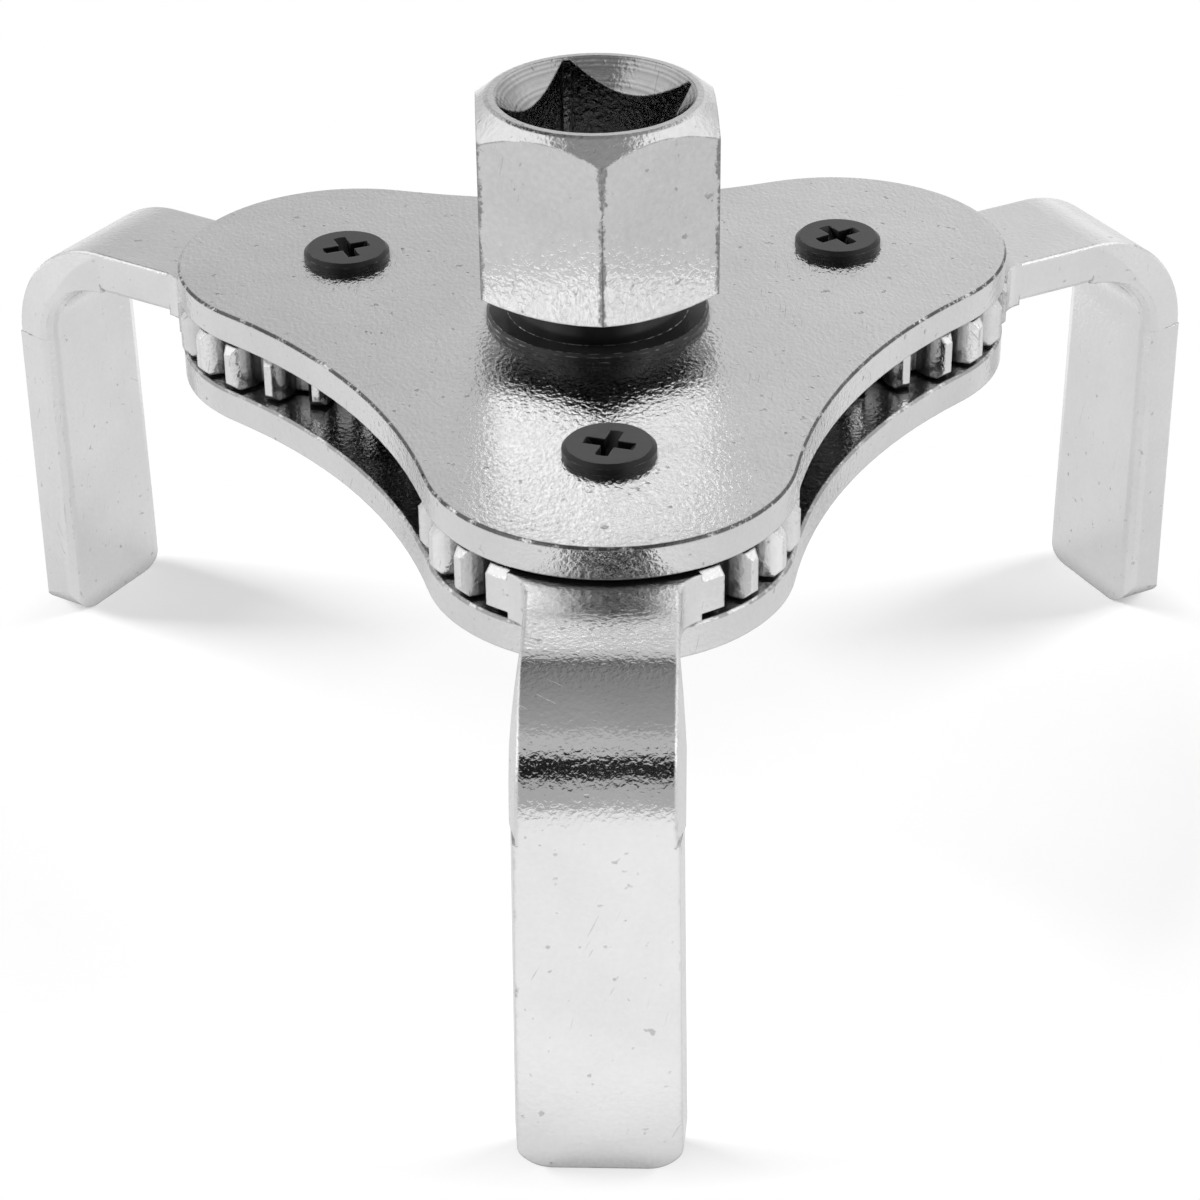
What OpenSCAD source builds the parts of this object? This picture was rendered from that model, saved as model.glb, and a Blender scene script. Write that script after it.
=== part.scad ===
// Three-jaw oil filter wrench. A square drive turns the sun gear, and the sun
// gear swings three toothed jaws in or out together between two plates.

/* [Plates] */
// Distance of each jaw pivot from the tool axis
pivot_r = 26.6; // [22:0.1:36]
// Radius of the plate lobe round each pivot
lobe_r = 15.8; // [13:0.1:18.2]
// Radius of the hollow sides between the lobes
waist_r = 60; // [40:1:90]
// Thickness of each plate
plate_t = 3.07; // [2:0.01:4]
// Bevel on the edges of the plates
plate_bevel = 0.2; // [0.1:0.05:0.6]
// Height of the lower plate above the leg ends
plate_h = 35; // [28:0.5:60]

/* [Jaws] */
// Thickness of the bar that each jaw is made from
jaw_t = 4.3; // [3:0.1:6]
// Width of the arm
arm_w = 12.4; // [10:0.1:16]
// Width of the leg at its inner face, just below the bend
leg_w = 13.4; // [10:0.1:18]
// How much wider the leg is at its foot
leg_flare = 0.7; // [0.1:0.1:1.5]
// Metal squeezed out on each side at the inside of the bend
bend_swell = 0.6; // [0.1:0.1:1]
// Distance from the pivot to the outer face of the leg
jaw_reach = 36.4; // [33:0.1:50]
// Outer radius of the bend
bend_r = 10.9; // [8:0.1:12.6]
// Radius of the long edges on the outer side of the bar
outer_edge_r = 0.3; // [0.2:0.05:0.8]
// Radius of the long edges on the inner side of the bar
inner_edge_r = 1.2; // [0.5:0.05:1.4]
// Radius of the corners at the foot of the leg
foot_r = 3.2; // [1:0.1:5]
// Radius of the hollow corner where the arm leaves the gear
fillet_r = 3.2; // [1:0.1:4]
// Turn of the jaws at rest, away from pointing straight out
jaw_turn = -4; // [-20:1:20]

/* [Gears] */
// Teeth that a whole turn of a jaw gear would have
jaw_teeth = 22; // [20:2:26]
// Teeth of the sun gear, a multiple of three
sun_teeth = 18; // [18:3:24]
// Pressure angle of the teeth
pressure_angle = 20; // [18:1:24]
// Play between meshing teeth, along the pitch circle
backlash = 0.16; // [0.1:0.02:0.3]
// Bevel on the ends of the jaw teeth
tooth_bevel = 0.7; // [0.2:0.1:1]
// Height of a tooth above the pitch circle, in modules
tooth_reach = 1.1; // [0.9:0.05:1.1]
// Angle on each side of the arm where the teeth are joined as its shoulder
shoulder_span = 36.8; // [34:0.1:37.5]

/* [Drive spindle] */
// Hexagon head, across the flats
hex_af = 21; // [20:0.1:27]
// Height of the hexagon head
hex_h = 17.3; // [14:0.1:24]
// Gap between the upper plate and the hexagon
hex_gap = 3.85; // [2:0.05:6]
// Width of the flat rim round the mouth of the square hole
rim_w = 0.6; // [0.3:0.05:0.8]
// Drop of the crowned top corners for each millimetre outward
crown_slope = 0.81; // [0.4:0.01:1]
// Drop of the bevel under the corners of the hexagon
skirt_drop = 0.65; // [0.2:0.05:1.2]
// Square drive hole, across the flats
drive_af = 12.8; // [12:0.05:14.75]
// Metal between the end of the square hole and the hexagon's underside
drive_floor = 1.3; // [1:0.1:4]
// How much wider the countersunk mouth is than the square hole
mouth_flare = 4.9; // [4:0.1:5.6]
// Diameter of the neck that turns in the bush
neck_d = 14; // [13:0.1:16.2]
// Journal that runs in the lower plate
journal_d = 11; // [8:0.05:12.8]
// Turn of the hexagon's corners from the front lobe
hex_turn = 0.35; // [-30:0.05:30]
// Turn of the square hole's corners from the hexagon's corners
square_turn = 15; // [0:1:45]

/* [Neck bush] */
// Wall of the bush
bush_wall = 1.15; // [0.6:0.05:1.5]
// How far the bush flange stands out past the barrel
flange_w = 1.85; // [0.5:0.05:2.5]
// Thickness of the bush flange
flange_t = 0.75; // [0.5:0.05:1.2]
// Play between the top of the bush and the hexagon
collar_play = 0.2; // [0.1:0.05:0.5]

/* [Pivot posts and screws] */
// Diameter of the post that a jaw turns on
post_d = 9; // [7.5:0.1:12]
// Diameter of the riveted tail of the post
tail_d = 6; // [5:0.1:7]
// How far the riveted end spreads past the tail
rivet_spread = 0.8; // [0.3:0.1:1.2]
// Thread diameter of the screws
screw_d = 4; // [3:0.1:4.6]
// Metal left in each post below the tip of its screw hole
screw_floor = 0.54; // [0.3:0.02:2]
// Play round the screws in the upper plate
screw_play = 0.2; // [0.1:0.05:0.4]
// Diameter of the screw heads
head_d = 8; // [7.5:0.1:10]
// Height of the screw heads
head_h = 0.95; // [0.8:0.05:2]
// Span of the cross recess in the screw heads
cross_w = 4.5; // [3.5:0.1:5.3]

/* [Retaining ring] */
// Thickness of the thrust washer under the lower plate
washer_t = 1; // [0.5:0.1:1.5]
// Outside diameter of the thrust washer
washer_d = 19; // [17:0.5:22]
// Thickness of the retaining ring
ring_t = 1; // [0.8:0.1:1.5]
// Radial width of the retaining ring
ring_w = 1.6; // [1.2:0.1:2.2]
// Depth of the ring's groove in the journal
groove_depth = 0.5; // [0.3:0.05:0.8]

/* [Clearances] */
// Play between a jaw and each plate
side_play = 0.3; // [0.2:0.05:0.5]
// Radial play of what turns on a pin or in a bore
run_fit = 0.05; // [0.02:0.01:0.1]
// Gap round what is pressed, riveted, screwed or keyed
seat_gap = 0.01; // [0.005:0.005:0.02]

/* [Hidden] */
$fn = 96;

// Bearings of the three lobes, seen from above
FRONT = -90;
RIGHT = 30;
LEFT = 150;
LOBES = [FRONT, RIGHT, LEFT];

// Levels, counted up from the leg ends
lower_top = plate_h + plate_t;
jaw_z = lower_top + side_play;
jaw_top = jaw_z + jaw_t;
upper_z = jaw_top + side_play;
upper_top = upper_z + plate_t;
hex_z = upper_top + hex_gap;
hex_top = hex_z + hex_h;
washer_z = plate_h - side_play / 2 - washer_t;
ring_z = washer_z - ring_t;
tail_end = 1;
tail_z = ring_z - tail_end;

// Gears: their pitch circles touch on the line from the axis to each pivot
module_size = 2 * pivot_r / (jaw_teeth + sun_teeth);
jaw_pitch_r = module_size * jaw_teeth / 2;
sun_pitch_r = module_size * sun_teeth / 2;
addendum = tooth_reach * module_size;
dedendum = addendum + 0.2 * module_size;
jaw_tip_r = jaw_pitch_r + addendum;
flank_steps = 5;
// A tooth of an even jaw gear faces the axis, so the sun shows it a gap
sun_phase = FRONT + (jaw_teeth % 2 == 0 ? 180 / sun_teeth : 0);
sun_turn = -jaw_turn * jaw_teeth / sun_teeth;

// Drive spindle
hex_r = hex_af / 2 / cos(30);
mouth_d = drive_af + mouth_flare;
rim_r = mouth_d / 2 + rim_w;
rim_round = 0.35;
square_corner_r = mouth_d / 2 - 0.15;
neck_r = neck_d / 2;
journal_r = journal_d / 2;
key_r = journal_r + 1;
key_af = 2 * journal_r;
groove_r = journal_r - groove_depth;

// Bush
bush_r = neck_r + run_fit + bush_wall;
collar_top = hex_z - collar_play;
flange_r = bush_r + flange_w;
bush_round = 0.25;

// Screws: a hole in a post ends in a cone, and the screw stops short of it
hole_end = 0.5;
thread_r = screw_d / 2;
thread_z = plate_h + screw_floor + thread_r / 2;
screw_l = upper_top - thread_z - hole_end;
// Cross recesses, as each screw happened to stop
cross_turns = [70, 31, 20.5];
cross_blade = 1.15;
cross_depth = 1.9;
cross_tip_r = 0.9;
head_bevel = 0.35;

over = 1;
plate_steel = [0.74, 0.74, 0.75];
jaw_steel = [0.82, 0.82, 0.83];
black_steel = [0.12, 0.12, 0.12];

function polar(r, a) = [r * cos(a), r * sin(a)];
function unit(v) = v / norm(v);
function in_degrees(x) = x * 180 / PI;

module at_lobes() {
    for (a = LOBES)
        translate(polar(pivot_r, a)) children();
}

module hole(d, t) {
    translate([0, 0, -over]) cylinder(d = d, h = t + 2 * over);
}

// ---------- plates ----------

// The hollow side after lobe a is one arc that touches that lobe and the next
waist_centre_r = pivot_r / 2 + sqrt(pow(lobe_r + waist_r, 2) - 0.75 * pow(pivot_r, 2));

function waist_centre(a) = polar(waist_centre_r, a + 60);

function touch(a, side) =
    let (pivot = polar(pivot_r, a))
    pivot + lobe_r * unit(waist_centre(side > 0 ? a : a - 120) - pivot);

module bevelled_disc(r, t, bevel) {
    rotate_extrude()
        polygon([[0, 0], [r - bevel, 0], [r, bevel], [r, t - bevel], [r - bevel, t], [0, t]]);
}

module flared_disc(r, t, bevel) {
    flare = r + bevel + over;
    rotate_extrude()
        polygon([[0, -over], [flare, -over], [r, bevel], [r, t - bevel],
                 [flare, t + over], [0, t + over]]);
}

module plate_blank() {
    difference() {
        union() {
            at_lobes() bevelled_disc(lobe_r, plate_t, plate_bevel);
            linear_extrude(plate_t)
                polygon([for (a = LOBES) each [touch(a, -1), polar(pivot_r, a), touch(a, 1)]]);
        }
        for (a = LOBES)
            translate(waist_centre(a)) flared_disc(waist_r, plate_t, plate_bevel);
    }
}

module top_plate() {
    color(plate_steel) translate([0, 0, upper_z]) difference() {
        plate_blank();
        hole(2 * bush_r, plate_t);
        at_lobes() hole(screw_d + 2 * screw_play, plate_t);
    }
}

module bottom_plate() {
    color(plate_steel) translate([0, 0, plate_h]) difference() {
        plate_blank();
        hole(journal_d + 2 * run_fit, plate_t);
        at_lobes() {
            hole(tail_d, plate_t);
            cylinder(r1 = tail_d / 2 + rivet_spread, r2 = tail_d / 2, h = rivet_spread);
        }
    }
}

// ---------- gears ----------

// Half of a tooth's angle at radius r, on an involute of the base circle
function involute(a) = in_degrees(tan(a)) - a;

function half_tooth(r, pitch_r, teeth) =
    let (at_pitch = 90 / teeth - in_degrees(backlash / 4 / pitch_r))
    at_pitch + involute(pressure_angle)
        - involute(acos(min(1, pitch_r * cos(pressure_angle) / r)));

function flank_radii(pitch_r) =
    let (base_r = max(pitch_r * cos(pressure_angle), pitch_r - dedendum + 0.1),
         tip_r = pitch_r + addendum)
    [pitch_r - dedendum, for (i = [0:flank_steps]) base_r + (tip_r - base_r) * i / flank_steps];

function tooth(bearing, pitch_r, teeth) =
    let (radii = flank_radii(pitch_r), last = len(radii) - 1)
    concat(
        [for (i = [0:last]) polar(radii[i], bearing - half_tooth(radii[i], pitch_r, teeth))],
        [for (i = [last:-1:0]) polar(radii[i], bearing + half_tooth(radii[i], pitch_r, teeth))]
    );

module gear_outline(pitch_r, teeth) {
    polygon([for (i = [0:teeth - 1]) each tooth(i * 360 / teeth, pitch_r, teeth)]);
}

module sun_gear() {
    color(jaw_steel) translate([0, 0, jaw_z]) rotate(sun_phase + sun_turn)
        linear_extrude(jaw_t) difference() {
            gear_outline(sun_pitch_r, sun_teeth);
            key_outline(seat_gap);
        }
}

// ---------- jaws ----------
// A jaw lies along +X from its pivot until it is turned into place

function corner(centre, r, from) = [for (i = [0:3]) centre + polar(r, from + 30 * i)];

// Bar section: x counts from the inner side, and y runs across the width
function bar_section(inner_w, outer_w) = concat(
    corner([inner_edge_r, inner_edge_r - inner_w / 2], inner_edge_r, 180),
    corner([jaw_t - outer_edge_r, outer_edge_r - outer_w / 2], outer_edge_r, 270),
    corner([jaw_t - outer_edge_r, outer_w / 2 - outer_edge_r], outer_edge_r, 0),
    corner([inner_edge_r, inner_w / 2 - inner_edge_r], inner_edge_r, 90)
);

bend_x = jaw_reach - bend_r;
bend_z = jaw_top - bend_r;
foot_w = leg_w + leg_flare;
leg_lean = atan(leg_flare / 2 / bend_z);
fillet_x = sqrt(pow(jaw_tip_r + fillet_r, 2) - pow(arm_w / 2 + fillet_r, 2));

module shoulder_outline() {
    intersection() {
        circle(jaw_tip_r);
        polygon([[0, 0], 2 * polar(jaw_tip_r, -shoulder_span), 2 * polar(jaw_tip_r, 0),
                 2 * polar(jaw_tip_r, shoulder_span)]);
    }
}

// The web between the shoulder and the arm, less its hollow corner
module fillet_outline() {
    centre = [fillet_x, arm_w / 2 + fillet_r];
    difference() {
        polygon([[0, 0], jaw_tip_r * unit(centre), centre, [fillet_x, 0]]);
        translate(centre) circle(fillet_r);
    }
}

module jaw_gear() {
    intersection() {
        linear_extrude(jaw_t) {
            gear_outline(jaw_pitch_r, jaw_teeth);
            shoulder_outline();
        }
        bevelled_disc(jaw_tip_r + seat_gap, jaw_t, tooth_bevel);
    }
    linear_extrude(jaw_t) {
        fillet_outline();
        mirror([0, 1]) fillet_outline();
    }
}

module arm() {
    rotate([90, 0, 90])
        linear_extrude(bend_x)
            rotate(90) mirror([0, 1]) polygon(bar_section(arm_w, arm_w));
}

// The metal squeezed out at the inside grows along the first part of the bend
module bend() {
    swell_w = arm_w / 2 + bend_swell;
    intersection() {
        translate([bend_x, 0, bend_z]) rotate([90, 0, 0])
            rotate_extrude(angle = 90)
                translate([bend_r - jaw_t, 0])
                    polygon(bar_section(2 * swell_w, arm_w));
        linear_extrude(jaw_top + over)
            polygon([[bend_x - over, -arm_w / 2], [bend_x, -arm_w / 2],
                     [bend_x + bend_r / 2, -swell_w], [jaw_reach + over, -swell_w],
                     [jaw_reach + over, swell_w], [bend_x + bend_r / 2, swell_w],
                     [bend_x, arm_w / 2], [bend_x - over, arm_w / 2]]);
    }
}

// One side of the leg, which leans out towards the foot; the bar runs on past the other side
module leg_side() {
    outer_w = leg_w - bend_swell;
    section = concat(
        [[0, -leg_w], [jaw_t, -leg_w]],
        corner([jaw_t - outer_edge_r, outer_w / 2 - outer_edge_r], outer_edge_r, 0),
        corner([inner_edge_r, leg_w / 2 - inner_edge_r], inner_edge_r, 90)
    );
    translate([jaw_reach - jaw_t, 0, bend_z]) rotate([leg_lean, 0, 0])
        translate([0, 0, -bend_z - over]) linear_extrude(bend_z + 2 * over) polygon(section);
}

module leg() {
    intersection() {
        leg_side();
        mirror([0, 1, 0]) leg_side();
        translate([jaw_reach - jaw_t - over, -foot_w, 0])
            linear_extrude(bend_z) square([jaw_t + 2 * over, 2 * foot_w]);
        translate([jaw_reach - jaw_t - over, 0, 0])
            rotate([90, 0, 90]) linear_extrude(jaw_t + 2 * over) foot_outline();
    }
}

module foot_outline() {
    union() {
        translate([-foot_w / 2 - over, foot_r]) square([foot_w + 2 * over, bend_z]);
        translate([foot_r - foot_w / 2, 0]) square([foot_w - 2 * foot_r, bend_z]);
        for (side = [-1, 1])
            translate([side * (foot_w / 2 - foot_r), foot_r]) circle(foot_r);
    }
}

module jaw(bearing) {
    color(jaw_steel)
        translate(polar(pivot_r, bearing)) rotate(bearing + jaw_turn) difference() {
            union() {
                translate([0, 0, jaw_z]) {
                    jaw_gear();
                    arm();
                }
                bend();
                leg();
            }
            translate([0, 0, jaw_z]) hole(post_d + 2 * run_fit, jaw_t);
        }
}

module jaw_front() {
    jaw(FRONT);
}

module jaw_right() {
    jaw(RIGHT);
}

module jaw_left() {
    jaw(LEFT);
}

// ---------- drive spindle ----------

module key_outline(grow) {
    intersection() {
        circle(key_r + grow);
        square([3 * key_r, key_af + 2 * grow], center = true);
    }
}

// Crowned above and bevelled below, so only the hexagon's corners are cut
module head_envelope() {
    crown_r = rim_r + rim_round;
    crown_drop = rim_round * crown_slope / 2;
    crown_end = crown_drop + (hex_r - crown_r) * crown_slope;
    skirt_r = hex_af / 2;
    rotate_extrude()
        polygon([[0, hex_z], [skirt_r, hex_z], [hex_r, hex_z + skirt_drop],
                 [hex_r, hex_top - crown_end], [crown_r, hex_top - crown_drop],
                 [rim_r, hex_top], [0, hex_top]]);
}

module drive_hole() {
    depth = hex_h - drive_floor;
    drill_r = drive_af / 2;
    sink = (mouth_d - drive_af) / 2;
    translate([0, 0, hex_top - depth]) {
        intersection() {
            linear_extrude(depth + over) square(drive_af, center = true);
            cylinder(r = square_corner_r, h = depth + over);
        }
        translate([0, 0, -drill_r / 2]) cylinder(r1 = 0, r2 = drill_r, h = drill_r / 2);
    }
    translate([0, 0, hex_top - sink])
        cylinder(r1 = drive_af / 2, r2 = mouth_d / 2 + over, h = sink + over);
}

module spindle_shaft() {
    bevel = 0.5;
    rotate_extrude()
        polygon([[0, tail_z], [journal_r - bevel, tail_z], [journal_r, tail_z + bevel],
                 [journal_r, ring_z - seat_gap], [groove_r, ring_z - seat_gap],
                 [groove_r, washer_z], [journal_r, washer_z], [journal_r, jaw_z], [0, jaw_z]]);
    translate([0, 0, jaw_z]) rotate(sun_phase + sun_turn)
        linear_extrude(jaw_t) key_outline(0);
    translate([0, 0, jaw_top]) cylinder(r = neck_r, h = hex_z - jaw_top);
}

module drive_spindle() {
    color(jaw_steel) union() {
        difference() {
            union() {
                spindle_shaft();
                rotate(FRONT + hex_turn) intersection() {
                    translate([0, 0, hex_z]) cylinder(r = hex_r, h = hex_h, $fn = 6);
                    head_envelope();
                }
            }
            rotate(FRONT + hex_turn + square_turn + 45) drive_hole();
        }
    }
}

module neck_bush() {
    bore_r = neck_r + run_fit;
    barrel_r = bush_r - seat_gap;
    flange_top = upper_top + flange_t;
    color(black_steel) rotate_extrude()
        polygon([[bore_r, upper_z], [barrel_r, upper_z], [barrel_r, upper_top],
                 [flange_r, upper_top], [flange_r, flange_top - bush_round],
                 [flange_r - bush_round, flange_top], [barrel_r, flange_top],
                 [barrel_r, collar_top - bush_round], [barrel_r - bush_round, collar_top],
                 [bore_r, collar_top]]);
}

module thrust_washer() {
    color(jaw_steel) translate([0, 0, washer_z]) difference() {
        cylinder(d = washer_d, h = washer_t);
        hole(journal_d + 2 * run_fit, washer_t);
    }
}

module retaining_ring() {
    mouth = 35;
    lug_r = ring_w;
    lug_at = groove_r + ring_w;
    color(black_steel) translate([0, 0, ring_z]) linear_extrude(ring_t) difference() {
        union() {
            difference() {
                circle(groove_r + ring_w);
                polygon([[0, 0], 3 * polar(lug_at, 90 - mouth), 3 * polar(lug_at, 90 + mouth)]);
            }
            for (side = [-1, 1])
                translate(polar(lug_at, 90 + side * mouth)) circle(lug_r);
        }
        circle(groove_r + seat_gap);
        for (side = [-1, 1])
            translate(polar(lug_at + 0.2, 90 + side * mouth)) circle(lug_r / 2);
    }
}

// ---------- pivot posts and screws ----------

module post(bearing) {
    tail_r = tail_d / 2 - seat_gap;
    color(jaw_steel) translate(polar(pivot_r, bearing)) rotate_extrude()
        polygon([[0, plate_h], [tail_r + rivet_spread, plate_h],
                 [tail_r, plate_h + rivet_spread], [tail_r, lower_top],
                 [post_d / 2, lower_top], [post_d / 2, upper_z], [thread_r, upper_z],
                 [thread_r, thread_z], [0, thread_z - thread_r / 2]]);
}

module post_front() {
    post(FRONT);
}

module post_right() {
    post(RIGHT);
}

module post_left() {
    post(LEFT);
}

module cross_recess() {
    intersection() {
        for (turn = [0, 90])
            rotate(turn) translate([0, 0, -cross_depth / 2 + over / 2])
                cube([cross_w, cross_blade, cross_depth + over], center = true);
        translate([0, 0, -cross_depth])
            cylinder(r1 = cross_tip_r, r2 = cross_w / 2, h = cross_depth);
    }
}

module screw() {
    head_r = head_d / 2;
    shank_r = thread_r - seat_gap;
    difference() {
        rotate_extrude()
            polygon([[0, -screw_l], [shank_r - 0.4, -screw_l], [shank_r, 0.4 - screw_l],
                     [shank_r, 0], [head_r, 0], [head_r, head_h - head_bevel],
                     [head_r - head_bevel, head_h], [0, head_h]]);
        translate([0, 0, head_h]) cross_recess();
    }
}

module plate_screws() {
    color(black_steel)
        for (i = [0:2])
            translate([each polar(pivot_r, LOBES[i]), upper_top]) rotate(cross_turns[i]) screw();
}

top_plate();
bottom_plate();
neck_bush();
drive_spindle();
sun_gear();
thrust_washer();
retaining_ring();
jaw_front();
jaw_right();
jaw_left();
post_front();
post_right();
post_left();
plate_screws();
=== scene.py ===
import math

import bpy
from mathutils import Matrix, Vector

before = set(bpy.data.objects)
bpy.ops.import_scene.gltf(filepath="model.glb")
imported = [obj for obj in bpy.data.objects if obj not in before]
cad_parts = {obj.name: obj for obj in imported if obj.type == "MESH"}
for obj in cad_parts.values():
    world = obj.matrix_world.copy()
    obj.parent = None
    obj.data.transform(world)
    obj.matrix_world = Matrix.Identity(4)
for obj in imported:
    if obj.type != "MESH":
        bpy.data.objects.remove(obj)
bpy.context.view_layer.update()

MM = 0.001
MICRON = 0.000001

# ---------- camera ----------

CAMERA_AT = Vector((-8.10, -262.35, 174.20)) * MM
CAMERA_HEADING = 1.745    # degrees clockwise from +Y, seen from above
CAMERA_PITCH = 31.123     # degrees down from level
CAMERA_ROLL = -0.666
CAMERA_LENS = 96.63       # millimetres, on the sensor below
SENSOR = 36


def add_camera():
    heading = math.radians(CAMERA_HEADING)
    pitch = math.radians(CAMERA_PITCH)
    roll = math.radians(CAMERA_ROLL)
    forward = Vector((math.sin(heading) * math.cos(pitch),
                      math.cos(heading) * math.cos(pitch), -math.sin(pitch)))
    level = Vector((math.cos(heading), -math.sin(heading), 0))
    upward = level.cross(forward)
    right = math.cos(roll) * level + math.sin(roll) * upward
    top = -math.sin(roll) * level + math.cos(roll) * upward
    turn = Matrix((right, top, -forward)).transposed().to_4x4()
    data = bpy.data.cameras.new("camera")
    data.lens = CAMERA_LENS
    data.sensor_width = SENSOR
    data.clip_start = 0.01
    data.clip_end = 10
    camera = bpy.data.objects.new("camera", data)
    camera.matrix_world = Matrix.Translation(CAMERA_AT) @ turn
    bpy.context.scene.collection.objects.link(camera)
    bpy.context.scene.camera = camera


# ---------- node helpers ----------

class Nodes:
    """Builds a node tree from short calls; a value may be a number, a colour or a socket."""

    def __init__(self, tree):
        self.tree = tree

    def put(self, socket, value):
        if isinstance(value, bpy.types.NodeSocket):
            self.tree.links.new(value, socket)
        else:
            socket.default_value = value

    def add(self, kind, values=None, **settings):
        node = self.tree.nodes.new(kind)
        for name, value in settings.items():
            setattr(node, name, value)
        for name, value in (values or {}).items():
            self.put(node.inputs[name], value)
        return node

    def math(self, operation, a, b=0.0, clamp=False):
        node = self.add("ShaderNodeMath", operation=operation, use_clamp=clamp)
        for socket, value in zip(node.inputs, (a, b)):
            self.put(socket, value)
        return node.outputs[0]

    def plus(self, a, b, clamp=False):
        return self.math("ADD", a, b, clamp)

    def minus(self, a, b, clamp=False):
        return self.math("SUBTRACT", a, b, clamp)

    def times(self, a, b):
        return self.math("MULTIPLY", a, b)

    def swing(self, value, amount):
        """A pattern of 0 to 1 as a change up and down by half the amount."""
        return self.times(self.minus(value, 0.5), amount)

    def mix(self, share, a, b):
        """a where share is 0, b where it is 1, for plain numbers."""
        return self.plus(self.times(self.minus(1.0, share), a), self.times(share, b))

    def spread(self, value, low, high, to_low=0.0, to_high=1.0):
        """Takes low..high to to_low..to_high, and stays at the ends beyond them."""
        node = self.add("ShaderNodeMapRange", {"Value": value, "From Min": low, "From Max": high,
                                               "To Min": to_low, "To Max": to_high})
        return node.outputs[0]

    def noise(self, place, size, detail=2.0, roughness=0.5, distortion=0.0):
        """A cloudy pattern of 0 to 1, whose patches are about size millimetres wide."""
        node = self.add("ShaderNodeTexNoise", {"Vector": place, "Scale": 1 / (size * MM),
                                               "Detail": detail, "Roughness": roughness,
                                               "Distortion": distortion})
        return node.outputs["Fac"]

    def dot(self, a, b):
        node = self.add("ShaderNodeVectorMath", operation="DOT_PRODUCT")
        self.put(node.inputs[0], a)
        self.put(node.inputs[1], b)
        return node.outputs["Value"]

    def part(self, vector, axis):
        return self.add("ShaderNodeSeparateXYZ", {"Vector": vector}).outputs[axis]

    def grey(self, value):
        node = self.add("ShaderNodeCombineColor", {"Red": value, "Green": value, "Blue": value})
        return node.outputs[0]

    def rounded_normal(self, radius):
        """The surface's direction, as if its edges were rounded by radius in millimetres."""
        return self.add("ShaderNodeBevel", {"Radius": radius * MM}, samples=6).outputs[0]

    def bump(self, height, depth, normal):
        """Depth in micrometres."""
        node = self.add("ShaderNodeBump", {"Height": height, "Strength": 1.0,
                                           "Distance": depth * MICRON, "Normal": normal})
        return node.outputs[0]


def new_material(name):
    material = bpy.data.materials.new(name)
    material.use_nodes = True
    tree = material.node_tree
    return material, Nodes(tree), tree.nodes["Principled BSDF"]


def place_of(nodes, seed, stretch=(1, 1, 1), turn=(0, 0, 0)):
    """The piece's own coordinates in metres, shifted so that no two materials look alike.

    stretch makes a pattern longer along each axis, and turn then turns it.
    """
    where = nodes.add("ShaderNodeTexCoord").outputs["Object"]
    move = nodes.add("ShaderNodeMapping", {"Vector": where}, vector_type="TEXTURE")
    move.inputs["Location"].default_value = (seed * 0.137, seed * 0.071, seed * 0.213)
    move.inputs["Rotation"].default_value = turn
    move.inputs["Scale"].default_value = stretch
    return move.outputs[0]


def axis_distance(nodes):
    """Distance from the tool axis, in millimetres."""
    place = nodes.add("ShaderNodeTexCoord").outputs["Object"]
    x, y = nodes.part(place, "X"), nodes.part(place, "Y")
    square = nodes.plus(nodes.times(x, x), nodes.times(y, y))
    return nodes.times(nodes.math("SQRT", square), 1 / MM)


def edge_share(nodes, rounded):
    """1 on edges, where the rounded normal leaves the flat one, and 0 elsewhere."""
    flat = nodes.add("ShaderNodeNewGeometry").outputs["True Normal"]
    return nodes.spread(nodes.dot(rounded, flat), 0.995, 0.94)


def slope_share(nodes, rounded, low, high):
    """1 where a surface faces partly upward, and 0 on level and upright faces.

    low and high are the upward parts of the normal between which it counts as sloped.
    """
    upward = nodes.part(rounded, "Z")
    return nodes.times(nodes.spread(upward, low, low + 0.15),
                       nodes.spread(upward, high, high - 0.10))


# ---------- plated steel ----------

CLOUD_SIZE = 9.0          # sizes of the plating's patterns, in millimetres
GATE_SIZE = 11.0
SCRATCH_SIZE = 3.5
RIPPLE_SIZE = 2.6
PATCH_SIZE = 2.2
PIN_SIZE = 0.8
RAGGED_SIZE = 0.45
RING_SIZE = 0.30
SCRATCH_TURNS = ((0.0, 3), (1.1, 5), (2.3, 8))   # further turn and further seed of each direction

# reach and darkest value of the painted shade in corners and gaps
GAP_SHADE_REACH = 4.0         # millimetres
GAP_SHADE_DARKEST = 0.22

MOUTH_R = (9.0, 9.4)      # the countersunk mouth's turned rings end between these, in millimetres
CORNER_BAND = (0.21, 0.09)   # the hexagon's worn corners start between these depths


def painted_gap_shade(nodes, ragged):
    """Factor of painted shade that darkens corners, gaps and contact lines by ambient occlusion,
    made patchy by noise.
    """
    open_share = nodes.add("ShaderNodeAmbientOcclusion", {"Distance": GAP_SHADE_REACH * MM},
                           samples=4).outputs["AO"]
    shaken = nodes.plus(open_share, nodes.swing(ragged, 0.3))
    return nodes.spread(shaken, 0.10, 0.72, GAP_SHADE_DARKEST, 1.0)


def scratches(nodes, seed, turn):
    """Fine lines in three directions, each in a few patches only."""
    lines = []
    for further_turn, further_seed in SCRATCH_TURNS:
        lie = place_of(nodes, seed + further_seed, (1, 0.035, 1), (0.2, 0.3, turn + further_turn))
        line = nodes.spread(nodes.noise(lie, SCRATCH_SIZE, 1.0), 0.745, 0.77)
        patch = nodes.noise(place_of(nodes, seed + 2 * further_seed), GATE_SIZE, 1.0)
        lines.append(nodes.times(line, nodes.spread(patch, 0.55, 0.62)))
    return nodes.plus(nodes.plus(lines[0], lines[1]), lines[2], clamp=True)


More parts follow.
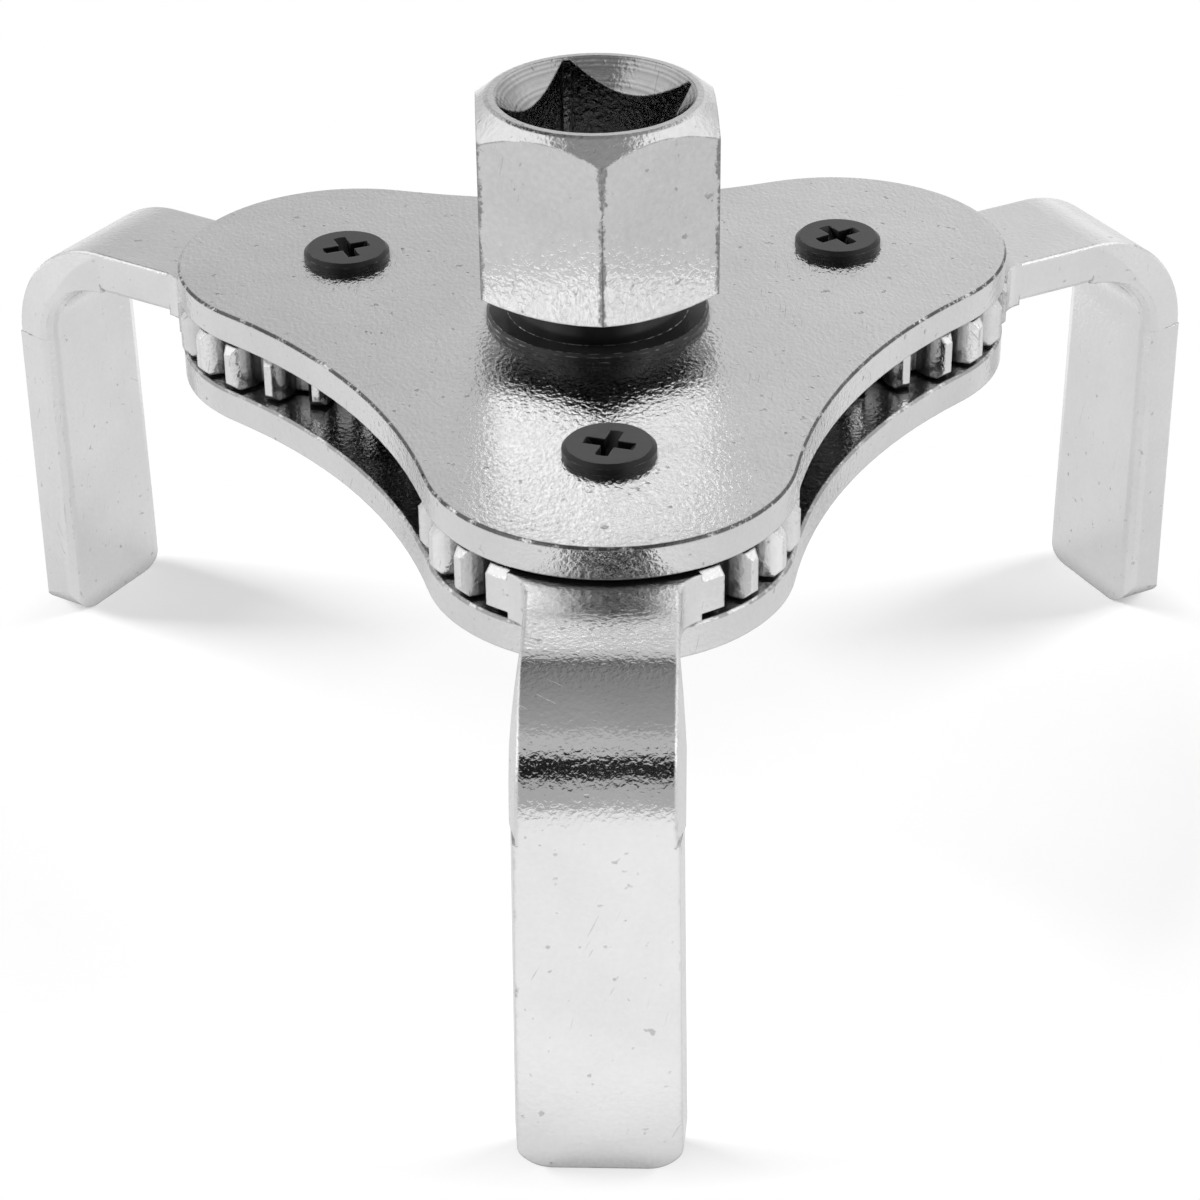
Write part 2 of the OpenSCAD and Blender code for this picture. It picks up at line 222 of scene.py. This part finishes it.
def edge_wear_and_painted_rim_reflection(nodes, rounded, bevelled):
    """1 on edges; a bevelled rim counts as one, darkened as a painted dark reflection, most of all
    where it faces the front.
    """
    edges = edge_share(nodes, rounded)
    if not bevelled:
        return edges
    # on a bevelled rim the sloping face is darkened as a painted dark reflection, more where it
    # faces the front
    edges = nodes.plus(nodes.times(edges, 0.3), slope_share(nodes, rounded, 0.15, 0.97), clamp=True)
    return nodes.times(edges, nodes.spread(nodes.part(rounded, "Y"), 0.15, -0.15, 0.35, 1.0))


def plated_steel(name, seed, tone=0.80, roughness=0.11, grain=62.0, grain_size=0.42, long=1.0,
                 speck=0.06, blotch=0.05, scratch_turn=0.4, edge=0.22, wear_and_rim_reflection=0.85, unmarked_share=0.32,
                 bevelled=False, corner_r=None):
    """Zinc plating: orange-peel skin, cloudy patches, pin holes, dark worn edges, scratches, and
    painted shade in corners and gaps.

    tone and roughness are the plain surface's. The skin is grain micrometres high and
    grain_size millimetres wide, and long times that from front to back. speck and blotch
    are its small and large changes of tone. edge is the edges' rounding in millimetres,
    and the two after it how dark the edges are made and how much of them is left plain.
    bevelled is for plates with a sloping rim, which is darkened as a painted dark
    reflection, most of all towards the front. corner_r is the hexagon's radius, and
    brings its worn corners and the rings in its mouth.
    """
    material, nodes, shader = new_material(name)
    place = place_of(nodes, seed)
    cloud = nodes.spread(nodes.noise(place, CLOUD_SIZE, 3.0, 0.6), 0.35, 0.65)
    fine = nodes.noise(place_of(nodes, seed, (1, long, 1)), grain_size, 2.0, 0.5, 0.3)
    ripple = nodes.noise(place, RIPPLE_SIZE)
    pins = nodes.spread(nodes.noise(place, PIN_SIZE, 2.0, 0.4), 0.70, 0.76)
    ragged = nodes.noise(place, RAGGED_SIZE, 4.0, 0.7)
    patchy = nodes.minus(nodes.plus(ragged, nodes.noise(place, PATCH_SIZE)), 0.5)
    scratch = scratches(nodes, seed, scratch_turn)
    # painted shade in corners, gaps and round contact lines
    gap_shade = painted_gap_shade(nodes, ragged)
    rounded = nodes.rounded_normal(edge)
    # edge wear, and on bevelled rims a painted dark reflection
    nicks_and_rim_reflection = nodes.times(edge_wear_and_painted_rim_reflection(nodes, rounded, bevelled),
                        nodes.spread(patchy, unmarked_share, unmarked_share + 0.22))
    if corner_r:
        out = axis_distance(nodes)
        corner = nodes.spread(nodes.plus(out, nodes.swing(patchy, 0.55)),
                              corner_r - CORNER_BAND[0], corner_r - CORNER_BAND[1])
        broken = nodes.spread(ragged, 0.20, 0.60, 0.6, 1.0)
        nicks_and_rim_reflection = nodes.math("MAXIMUM", nicks_and_rim_reflection, nodes.times(corner, broken))
        along = nodes.add("ShaderNodeCombineXYZ", {"X": out}).outputs[0]
        rings = nodes.noise(along, RING_SIZE / MM)   # out is in millimetres
        inside = nodes.spread(out, MOUTH_R[1], MOUTH_R[0])
        turned = nodes.times(nodes.times(rings, inside), slope_share(nodes, rounded, 0.3, 0.99))

    value = nodes.plus(tone - blotch / 2, nodes.times(cloud, blotch))
    value = nodes.plus(value, nodes.swing(fine, speck))
    value = nodes.minus(value, nodes.times(nicks_and_rim_reflection, wear_and_rim_reflection * tone))
    value = nodes.minus(value, nodes.times(pins, 0.22))
    value = nodes.minus(value, nodes.times(scratch, 0.10), clamp=True)
    if corner_r:
        value = nodes.times(value, nodes.minus(1.0, nodes.times(turned, 0.9)))
    nodes.put(shader.inputs["Base Color"], nodes.grey(nodes.times(value, gap_shade)))

    gloss = nodes.plus(roughness - 0.03, nodes.times(cloud, 0.07))
    gloss = nodes.plus(gloss, nodes.times(nodes.minus(1.0, gap_shade), 0.4))
    gloss = nodes.plus(gloss, nodes.times(scratch, 0.15))
    gloss = nodes.plus(gloss, nodes.times(nicks_and_rim_reflection, 0.20))
    gloss = nodes.plus(gloss, nodes.times(pins, 0.2), clamp=True)
    nodes.put(shader.inputs["Roughness"], gloss)
    shader.inputs["Metallic"].default_value = 1.0

    height = nodes.plus(fine, nodes.times(ripple, 0.5))
    height = nodes.minus(height, nodes.times(scratch, 0.3))
    height = nodes.minus(height, nodes.times(pins, 0.3))
    if corner_r:
        height = nodes.plus(height, nodes.times(turned, 0.8))
    nodes.put(shader.inputs["Normal"], nodes.bump(height, grain, rounded))
    return material


# ---------- blackened steel ----------

MOTTLE_SIZE = 1.7         # sizes of the black pieces' patterns, in millimetres
RUB_SIZE = 0.9
BLACK_GRAIN_SIZE = 0.16
BLACK_GRAIN = 2.5         # micrometres
BLACK_EDGE = 0.14         # the edges' rounding, in millimetres


def black_oxide(name, seed, tone=0.014, roughness=0.34, shine=0.3, rub_and_highlight_edge=0.12,
                painted_top_sheen=0.0):
    """Blackened steel: faintly mottled, with paler edges that are partly rubbed wear and partly a
    painted highlight, a painted paler sheen on the top, and a fine grain.
    """
    material, nodes, shader = new_material(name)
    place = place_of(nodes, seed)
    cloud = nodes.noise(place, MOTTLE_SIZE, 4.0, 0.6)
    fine = nodes.noise(place, BLACK_GRAIN_SIZE)
    rounded = nodes.rounded_normal(BLACK_EDGE)
    # edges made paler: partly rubbed wear, partly a painted highlight
    patches = nodes.spread(nodes.noise(place, RUB_SIZE, 3.0, 0.6), 0.46, 0.66)
    rubbed_and_highlit = nodes.times(edge_share(nodes, rounded), patches)
    # the top is made paler as a painted sheen
    top = nodes.spread(nodes.part(rounded, "Z"), 0.90, 0.99)
    mottled_top_sheen = nodes.times(top, nodes.plus(0.6, nodes.times(cloud, 0.8)))
    value = nodes.plus(tone * 0.7, nodes.times(cloud, tone * 0.6))
    value = nodes.plus(value, nodes.times(rubbed_and_highlit, rub_and_highlight_edge))
    value = nodes.plus(value, nodes.times(mottled_top_sheen, painted_top_sheen))
    nodes.put(shader.inputs["Base Color"], nodes.grey(value))
    gloss = nodes.plus(roughness - 0.08, nodes.times(cloud, 0.16))
    nodes.put(shader.inputs["Roughness"], gloss)
    shader.inputs["Specular IOR Level"].default_value = shine
    height = nodes.plus(fine, nodes.times(cloud, 1.5))
    nodes.put(shader.inputs["Normal"], nodes.bump(height, BLACK_GRAIN, rounded))
    return material


# ---------- what each piece is made of ----------

HEX_CORNER_R = 12.12      # millimetres, from the tool axis to the hexagon's corners
JAW = dict(tone=0.82, grain=42.0, edge=0.3, wear_and_rim_reflection=0.5, unmarked_share=0.56)
HIDDEN = dict(tone=0.66, roughness=0.25)

FINISH = {
    "top_plate": plated_steel("top_plate_plating", 1, tone=0.76, roughness=0.07, grain=66.0,
                              grain_size=0.36, long=1.6, unmarked_share=0.24, bevelled=True),
    "bottom_plate": plated_steel("bottom_plate_plating", 2, tone=0.76, scratch_turn=1.7,
                                 wear_and_rim_reflection=0.5, bevelled=True),
    "drive_spindle": plated_steel("spindle_plating", 3, tone=0.70, roughness=0.08, grain=56.0,
                                  grain_size=0.5, speck=0.16, wear_and_rim_reflection=0.6, corner_r=HEX_CORNER_R),
    "sun_gear": plated_steel("sun_gear_plating", 4, tone=0.62, roughness=0.3, blotch=0.12),
    "thrust_washer": plated_steel("washer_plating", 5, **HIDDEN),
    "jaw_front": plated_steel("front_jaw_plating", 6, **JAW),
    "jaw_right": plated_steel("right_jaw_plating", 7, scratch_turn=0.9, **JAW),
    "jaw_left": plated_steel("left_jaw_plating", 8, scratch_turn=2.0, **JAW),
    "post_front": plated_steel("front_post_plating", 9, **HIDDEN),
    "post_right": plated_steel("right_post_plating", 10, **HIDDEN),
    "post_left": plated_steel("left_post_plating", 11, **HIDDEN),
    # the bush's pale edges stand in for its highlight arcs: painted highlight
    "neck_bush": black_oxide("bush_black", 12, tone=0.013, roughness=0.22, shine=0.38,
                             rub_and_highlight_edge=0.4),
    "plate_screws": black_oxide("screw_black", 13, tone=0.009, painted_top_sheen=0.035),
    "retaining_ring": black_oxide("ring_black", 14),
}


def dress():
    for name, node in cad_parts.items():
        node.data.materials.clear()
        node.data.materials.append(FINISH[name])


# ---------- surroundings ----------

# Brightness in the plane of the camera and the tool axis, by the angle in degrees from
# the level behind the camera, over the top, to the level behind the tool
OVERHEAD = [(0, 0.46), (22, 0.46), (25, 0.01), (41, 0.01), (44, 0.54), (60, 0.54), (64, 0.38),
            (124, 0.22), (128, 0.13), (133, 0.14), (139, 0.60), (160, 0.66), (180, 0.90)]
SIDES_LOW = 0.76          # brightness to the left and right, near the floor and higher up
SIDES_HIGH = 1.12
BACK_SLANT = 0.50         # how much brighter the back is to the right
BOX_AT = (0.742, -0.428, 0.515)   # towards the right softbox; the left one is its mirror image
BOX_EDGE = (0.955, 0.985)         # cosines between which a softbox fades in
BOX = 1.60                # its brightness
BOX_GRID = 0.65           # how much darker and lighter the squares of its grid are
GRID_SCALE = 12.5
DIFFUSE_SHARE = 0.15      # of the surroundings' light that falls on matt surfaces


def surround():
    world = bpy.data.worlds.new("world")
    bpy.context.scene.world = world
    world.use_nodes = True
    nodes = Nodes(world.node_tree)
    where = nodes.add("ShaderNodeTexCoord").outputs["Generated"]
    x, y, z = (nodes.part(where, axis) for axis in "XYZ")
    angle = nodes.math("ARCTAN2", z, nodes.times(y, -1.0))
    ramp = nodes.add("ShaderNodeValToRGB", {"Fac": nodes.math("DIVIDE", angle, math.pi)})
    stops = ramp.color_ramp.elements
    for index, (degrees, value) in enumerate(OVERHEAD):
        stop = stops[index] if index < 2 else stops.new(degrees / 180)
        stop.position = degrees / 180
        stop.color = (value, value, value, 1)
    behind = nodes.spread(y, 0.15, 0.45)
    slant = nodes.times(nodes.times(x, BACK_SLANT), behind)
    middle = nodes.plus(ramp.outputs["Color"], slant)
    aside = nodes.math("ABSOLUTE", x)
    sides = nodes.spread(z, 0.30, 0.55, SIDES_LOW, SIDES_HIGH)
    seen = nodes.mix(nodes.spread(aside, 0.30, 0.50), middle, sides)
    # Two gridded softboxes in front, whose grids make the plate's grain sparkle
    half = nodes.add("ShaderNodeCombineXYZ", {"X": aside, "Y": y, "Z": z}).outputs[0]
    grid = nodes.add("ShaderNodeTexChecker", {"Vector": where, "Scale": GRID_SCALE}).outputs["Fac"]
    box = nodes.spread(grid, 0.0, 1.0, BOX * (1 - BOX_GRID), BOX * (1 + BOX_GRID))
    seen = nodes.mix(nodes.spread(nodes.dot(half, BOX_AT), *BOX_EDGE), seen, box)
    ray = nodes.add("ShaderNodeLightPath").outputs
    seen = nodes.mix(ray["Is Diffuse Ray"], seen, nodes.times(seen, DIFFUSE_SHARE))
    background = world.node_tree.nodes["Background"]
    nodes.put(background.inputs["Color"], nodes.grey(nodes.mix(ray["Is Camera Ray"], seen, 1.0)))
    background.inputs["Strength"].default_value = 1.0


# ---------- lamps ----------

LAMP_TURN = 112           # degrees from the camera's side, seen from above
LAMP_RISE = 15            # degrees above level
LAMP_DISTANCE = 1.50      # metres
LAMP_SIZE = (0.75, 0.42)  # metres
LAMP_AIM = Vector((0, 0, 0.03))
LEFT_POWER = 41.0         # watts
RIGHT_POWER = 28.0


def soft_light(name, turn, power):
    around, rise = math.radians(turn), math.radians(LAMP_RISE)
    place = Vector((math.sin(around) * math.cos(rise), -math.cos(around) * math.cos(rise),
                    math.sin(rise))) * LAMP_DISTANCE
    data = bpy.data.lights.new(name, "AREA")
    data.shape = "RECTANGLE"
    data.size, data.size_y = LAMP_SIZE
    data.energy = power
    light = bpy.data.objects.new(name, data)
    light.location = place
    light.visible_glossy = False
    light.rotation_euler = (LAMP_AIM - place).to_track_quat("-Z", "Y").to_euler()
    bpy.context.scene.collection.objects.link(light)


# ---------- floor ----------

FLOOR_SIZE = 6            # metres
FLOOR_TONE = 0.80
FLOOR_TONE_SEEN = 0.92
FLOOR_TONE_MIRRORED = 0.25
SEEN_GLOW = 0.21
GLOW_NEAR = 0.54          # glow of the floor in the metal, under the tool and farther out; dimmer under the tool as a painted shadow of the tool
GLOW_FRONT = 0.76
GLOW_SIDE = 0.60
NEAR_R = (60.0, 74.0)     # millimetres from the tool axis
SIDE_X = (25.0, 70.0)     # millimetres from the middle
SHADOW_IN = (24.0, 46.0)  # millimetres from the tool axis, between which shadows fade in
SHADOW_OUT = (58.0, 66.0)   # and out
SHADOW_LOSS = 0.8         # share of the shadow that is left out under the middle


def add_floor():
    bpy.ops.mesh.primitive_plane_add(size=FLOOR_SIZE, location=(0, 0, 0))
    floor = bpy.context.object
    floor.name = "floor"
    material, nodes, shader = new_material("floor_white")
    ray = nodes.add("ShaderNodeLightPath").outputs
    out = axis_distance(nodes)
    tone = nodes.mix(ray["Is Camera Ray"], FLOOR_TONE, FLOOR_TONE_SEEN)
    tone = nodes.mix(ray["Is Glossy Ray"], tone, FLOOR_TONE_MIRRORED)
    nodes.put(shader.inputs["Base Color"], nodes.grey(tone))
    where = nodes.add("ShaderNodeTexCoord").outputs["Object"]
    aside = nodes.math("ABSOLUTE", nodes.part(where, "X"))
    far = nodes.spread(aside, SIDE_X[0] * MM, SIDE_X[1] * MM, GLOW_FRONT, GLOW_SIDE)
    mirrored = nodes.times(nodes.mix(nodes.spread(out, *NEAR_R), GLOW_NEAR, far),
                           ray["Is Glossy Ray"])
    glow = nodes.mix(ray["Is Camera Ray"], mirrored, SEEN_GLOW)
    nodes.put(shader.inputs["Emission Color"], nodes.grey(glow))
    shader.inputs["Emission Strength"].default_value = 1.0
    shader.inputs["Roughness"].default_value = 1.0
    shader.inputs["Specular IOR Level"].default_value = 0.0
    # Shadows are kept round the feet and fade out to plain white, as in the photograph
    plain = nodes.math("MAXIMUM", nodes.spread(out, *SHADOW_IN, SHADOW_LOSS, 0.0),
                       nodes.spread(out, *SHADOW_OUT))
    blend = nodes.add("ShaderNodeMixShader", {"Fac": nodes.times(plain, ray["Is Camera Ray"])})
    white = nodes.add("ShaderNodeEmission", {"Color": (1, 1, 1, 1), "Strength": 1.0})
    nodes.put(blend.inputs[1], shader.outputs[0])
    nodes.put(blend.inputs[2], white.outputs[0])
    # Seen from below the floor is clear, so that the tool's underside can be looked at
    below = nodes.add("ShaderNodeNewGeometry").outputs["Backfacing"]
    see_through = nodes.add("ShaderNodeMixShader", {"Fac": below})
    nodes.put(see_through.inputs[1], blend.outputs[0])
    nodes.put(see_through.inputs[2], nodes.add("ShaderNodeBsdfTransparent").outputs[0])
    nodes.put(nodes.tree.nodes["Material Output"].inputs["Surface"], see_through.outputs[0])
    floor.data.materials.append(material)


add_camera()
dress()
add_floor()
surround()
soft_light("left_box", -LAMP_TURN, LEFT_POWER)
soft_light("right_box", LAMP_TURN, RIGHT_POWER)
bpy.context.scene.view_settings.view_transform = "Standard"
